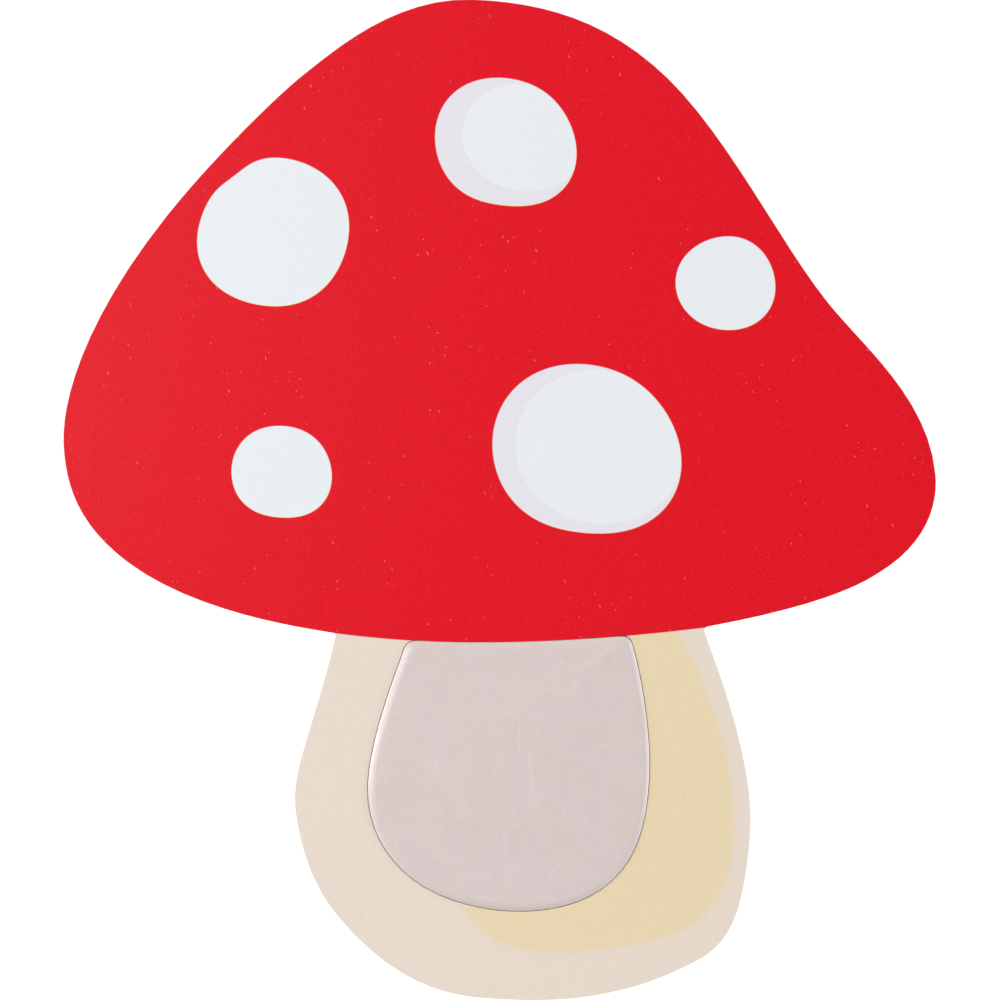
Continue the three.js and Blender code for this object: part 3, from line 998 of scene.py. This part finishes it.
def screw_tree(material):
    """A node tree that puts a cross-recessed countersunk screw at every point it is given."""
    outputs = {"Geometry": "NodeSocketGeometry"}
    sizes = dict.fromkeys(("Head radius", "Shank radius", "Length"), "NodeSocketFloat")
    group, tree, given, made = new_group(
        "GeometryNodeTree", "countersunk screws", outputs | sizes, outputs
    )
    head_radius, shank_radius, whole = given["Head radius"], given["Shank radius"], given["Length"]
    head_depth = tree.times(tree.minus(head_radius, shank_radius), HEAD_SLOPE)
    tip = tree.times(shank_radius, SCREW_TIP)

    def moved(mesh, z, rotation=(0, 0, 0)):
        shift = tree.node("ShaderNodeCombineXYZ", {"Z": z}).outputs[0]
        values = {"Geometry": mesh, "Translation": shift, "Rotation": rotation}
        return tree.node("GeometryNodeTransform", values).outputs[0]

    def cone(top, bottom, depth, sides):
        values = {"Vertices": sides, "Radius Top": top, "Radius Bottom": bottom, "Depth": depth}
        return tree.node("GeometryNodeMeshCone", values).outputs["Mesh"]

    head = moved(cone(head_radius, shank_radius, head_depth, HEAD_SIDES), tree.times(head_depth, -1.0))
    values = {"Mesh 1": head}
    cut = tree.node("GeometryNodeMeshBoolean", values, operation="DIFFERENCE", solver="EXACT")
    for turn in (pi / 4, 3 * pi / 4):
        sides = {"X": tree.times(head_radius, BLADE_SPAN), "Y": SCREW_BLADE, "Z": SCREW_RECESS * 2}
        size = tree.node("ShaderNodeCombineXYZ", sides).outputs[0]
        box = tree.node("GeometryNodeMeshCube", {"Size": size}).outputs["Mesh"]
        tree.feed(cut.inputs["Mesh 2"], moved(box, 0.0, (0, 0, turn)))
    straight = tree.minus(tree.minus(whole, head_depth), tip)
    shank_low = tree.minus(tip, whole)
    shank = moved(cone(shank_radius, shank_radius, straight, SHANK_SIDES), shank_low)
    point = moved(cone(shank_radius, SCREW_POINT, tip, SHANK_SIDES), tree.times(whole, -1.0))
    thread_values = {
        "Resolution": 18,
        "Rotations": THREAD_TURNS,
        "Start Radius": shank_radius,
        "End Radius": shank_radius,
        "Height": straight,
    }
    spiral = tree.node("GeometryNodeCurveSpiral", thread_values).outputs[0]
    ring = {"Resolution": 4, "Radius": THREAD_HEIGHT}
    profile = tree.node("GeometryNodeCurvePrimitiveCircle", ring).outputs["Curve"]
    swept = {"Curve": spiral, "Profile Curve": profile, "Fill Caps": True}
    thread = moved(tree.node("GeometryNodeCurveToMesh", swept).outputs[0], shank_low)
    whole_screw = tree.node("GeometryNodeJoinGeometry")
    for part in (cut.outputs["Mesh"], shank, point, thread):
        tree.feed(whole_screw.inputs[0], part)
    values = {
        "Points": given["Geometry"],
        "Instance": whole_screw.outputs[0],
        "Rotation": (-pi / 2, 0, 0),
    }
    placed = tree.node("GeometryNodeInstanceOnPoints", values)
    real = tree.node("GeometryNodeRealizeInstances", {"Geometry": placed.outputs[0]})
    values = {"Geometry": real.outputs[0], "Material": material}
    finish = tree.node("GeometryNodeSetMaterial", values)
    tree.feed(made["Geometry"], finish.outputs[0])
    return group


class TOADSTOOL_OT_hanger_plates(bpy.types.Operator):
    """Finish the two keyhole plates let into the back"""

    bl_idname = "toadstool.hanger_plates"
    bl_label = "Hanger plates"

    def execute(self, context):
        look = context.scene.toadstool_hangers
        zinc = zinc_material("zinc plated steel", look.zinc, PLATE_ROUGHNESS)
        for side in ("left", "right"):
            name = f"keyhole_plate_{side}"
            finished_copy(f"hanger_{side}", name, "zinc_steel", PLATE_EDGE, zinc)
        return {"FINISHED"}


class TOADSTOOL_OT_hanger_screws(bpy.types.Operator):
    """Make the four countersunk screws of the keyhole plates, one at each CAD screw"""

    bl_idname = "toadstool.hanger_screws"
    bl_label = "Hanger screws"

    def execute(self, context):
        look = context.scene.toadstool_hangers
        ends = ("upper", "lower")
        names = [f"hanger_{side}_screw_{end}" for side in ("left", "right") for end in ends]
        bm = bmesh.new()
        for name in names:
            low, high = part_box(name)
            bm.verts.new(((low.x + high.x) / 2, high.y, (low.z + high.z) / 2))
        screws = new_piece("hanger_screws", bm)
        group = screw_tree(zinc_material("zinc plated screw", look.screw_zinc, SCREW_ROUGHNESS))
        maker = screws.modifiers.new("screws", "NODES")
        maker.node_group = group
        sizes = {
            "Head radius": look.head_radius,
            "Shank radius": look.shank_radius,
            "Length": look.screw_length,
        }
        for item in group.interface.items_tree:
            if item.name in sizes:
                maker[item.identifier] = sizes[item.name]
        apply_modifiers(screws)
        smooth(screws, 35)
        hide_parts(*names)
        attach(screws, BODY)
        return {"FINISHED"}


# ---- the stage ----

FLOOR_CLEAR = 4 * MM  # the panel hangs just clear of the floor
FLOOR_REACH = 6.0
SENSOR = 36.0
COOL = (0.95, 0.94, 1.0)
SKY_LOW, SKY_HIGH = 0.44, 0.56  # its strength below and above
SKY_BEHIND_CAMERA = 0.12  # the share of it that is left there
SKY_SEEN = 1.05


def lamp(kind, name, toward, distance=0.0):
    """A light that stands in a direction from the panel and shines on it."""
    light = bpy.data.lights.new(name, kind)
    placed = in_scene(name, light)
    away = Vector(toward).normalized()
    placed.location = away * distance
    placed.rotation_mode = "QUATERNION"
    placed.rotation_quaternion = away.to_track_quat("Z", "Y")
    return light


def sun(name, toward, strength, spread, colour=(1, 1, 1)):
    """A soft light from so far off that it is even."""
    light = lamp("SUN", name, toward)
    light.energy = strength
    light.angle = radians(spread)
    light.color = colour


def softbox(name, toward, distance, strength, width):
    """A round soft light near enough to fade across the panel, its strength that of a sun."""
    light = lamp("AREA", name, toward, distance)
    light.shape = "DISK"
    light.size = width
    light.energy = strength * pi * distance**2


class TOADSTOOL_OT_stage(bpy.types.Operator):
    """Set the pale floor, the soft lights and the camera square to the panel's face"""

    bl_idname = "toadstool.stage"
    bl_label = "Stage"

    def execute(self, context):
        look = context.scene.toadstool_stage
        self.camera(look)
        self.floor(look)
        self.sky()
        softbox("left", (-0.93, -0.33, 0.1), distance=5.0, strength=0.82 * pi, width=1.8)
        for name, height in (("right upper", 0.2), ("right lower", -0.14)):
            sun(name, (0.95, -0.28, height), strength=0.4 * pi, spread=18, colour=COOL)
        sun("front", (-0.49, -0.86, 0.12), strength=0.29 * pi, spread=30)
        sun("overhead", (0.1, 0.62, 0.78), strength=pi, spread=40)
        context.scene.view_settings.view_transform = "Standard"
        return {"FINISHED"}

    def camera(self, look):
        camera = bpy.data.cameras.new("camera")
        camera.lens = look.lens
        camera.sensor_width = SENSOR
        camera.clip_start = 0.01
        away = look.view_width * look.lens / SENSOR
        placed = in_scene("camera", camera)
        placed.location = (0, -FACE_LEVEL - away, 0)
        placed.rotation_euler = (pi / 2, 0, 0)
        bpy.context.scene.camera = placed

    def floor(self, look):
        bm = bmesh.new()
        bmesh.ops.create_grid(bm, x_segments=1, y_segments=1, size=FLOOR_REACH)
        bmesh.ops.translate(bm, verts=bm.verts, vec=(0, 0, FOOT - FLOOR_CLEAR))
        surface = Surface("pale floor", look.floor, 0.0, Base_Color=rgba(look.floor), Roughness=0.9)
        floor = new_piece("floor", bm, surface.material)
        floor.visible_diffuse = False
        floor.visible_glossy = False
        floor.visible_shadow = False

    def sky(self):
        """White to look at; as light, stronger from above, and dark behind the camera."""
        world = bpy.data.worlds.new("studio")
        world.use_nodes = True
        bpy.context.scene.world = world
        tree = Tree(world.node_tree)
        soft = tree.tree.nodes["Background"]
        toward = tree.node("ShaderNodeTexCoord").outputs["Generated"]
        part = tree.parts(toward)
        level = tree.between(part["Z"], -0.6, 0.9, SKY_LOW, SKY_HIGH)
        dark = tree.between(part["Y"], -0.92, -0.5, SKY_BEHIND_CAMERA, 1.0)
        tree.feed(soft.inputs["Strength"], tree.times(level, dark))
        soft.inputs["Color"].default_value = (1, 1, 1, 1)
        white = tree.node("ShaderNodeBackground", {"Color": (1, 1, 1, 1), "Strength": SKY_SEEN})
        seen = tree.node("ShaderNodeLightPath").outputs["Is Camera Ray"]
        values = {0: seen, 1: soft.outputs[0], 2: white.outputs[0]}
        choice = tree.node("ShaderNodeMixShader", values)
        tree.feed(tree.tree.nodes["World Output"].inputs["Surface"], choice.outputs[0])


# ---- the panel in the sidebar ----

SETTINGS = {
    "toadstool_print": PrintSettings,
    "toadstool_board": BoardSettings,
    "toadstool_pad": PadSettings,
    "toadstool_hangers": HangerSettings,
    "toadstool_stage": StageSettings,
}
OPERATORS = (
    TOADSTOOL_OT_stage,
    TOADSTOOL_OT_board,
    TOADSTOOL_OT_pad_cover,
    TOADSTOOL_OT_pad_filling,
    TOADSTOOL_OT_hanger_plates,
    TOADSTOOL_OT_hanger_screws,
)


class TOADSTOOL_PT_panel(bpy.types.Panel):
    """The toadstool panel's pieces and what can be changed on them"""

    bl_idname = "TOADSTOOL_PT_panel"
    bl_label = "Toadstool wall panel"
    bl_space_type = "VIEW_3D"
    bl_region_type = "UI"
    bl_category = "Toadstool"

    def draw(self, context):
        for name, group in SETTINGS.items():
            box = self.layout.box()
            box.label(text=name.removeprefix("toadstool_").capitalize())
            for setting in group.__annotations__:
                box.prop(getattr(context.scene, name), setting)
        for operator in OPERATORS:
            self.layout.operator(operator.bl_idname)


CLASSES = (*SETTINGS.values(), *OPERATORS, TOADSTOOL_PT_panel)


def register():
    for cls in CLASSES:
        bpy.utils.register_class(cls)
    for name, group in SETTINGS.items():
        setattr(bpy.types.Scene, name, PointerProperty(type=group))


def unregister():
    for name in SETTINGS:
        delattr(bpy.types.Scene, name)
    for cls in reversed(CLASSES):
        bpy.utils.unregister_class(cls)


def main():
    register()
    bpy.ops.toadstool.stage()
    bpy.ops.toadstool.board()
    bpy.ops.toadstool.pad_cover()
    bpy.ops.toadstool.pad_filling()
    bpy.ops.toadstool.hanger_plates()
    bpy.ops.toadstool.hanger_screws()


if __name__ == "__main__":
    main()
